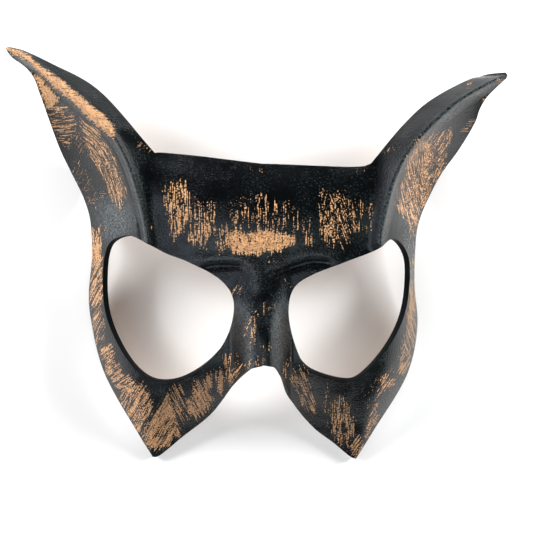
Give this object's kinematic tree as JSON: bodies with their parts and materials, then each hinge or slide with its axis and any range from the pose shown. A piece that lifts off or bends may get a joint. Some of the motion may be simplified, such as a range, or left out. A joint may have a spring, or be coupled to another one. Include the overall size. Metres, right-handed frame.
{
  "type": "cat mask",
  "caption": "Moulded leather half mask of a cat, worn over the eyes, with tall flared ears, eye holes, a nose bridge and pointed cheeks, in black with dry-brushed orange.",
  "frame": {"origin": "under the middle of the mask's box, on the surface that it lies on", "axes": "+X to the right of someone who looks at the face, along its width; +Y towards the ears; +Z out of the face, so the mask lies face up"},
  "size_m": [0.264, 0.2212, 0.0648],
  "materials": {
    "painted_leather": "satin black leather, dry-brushed with light orange paint on the ears, forehead, nose and cheeks; cut edges and the side inside are left natural tan"
  },
  "bodies": {
    "root": {"cat_mask": "painted_leather"}
  },
  "joints": []
}
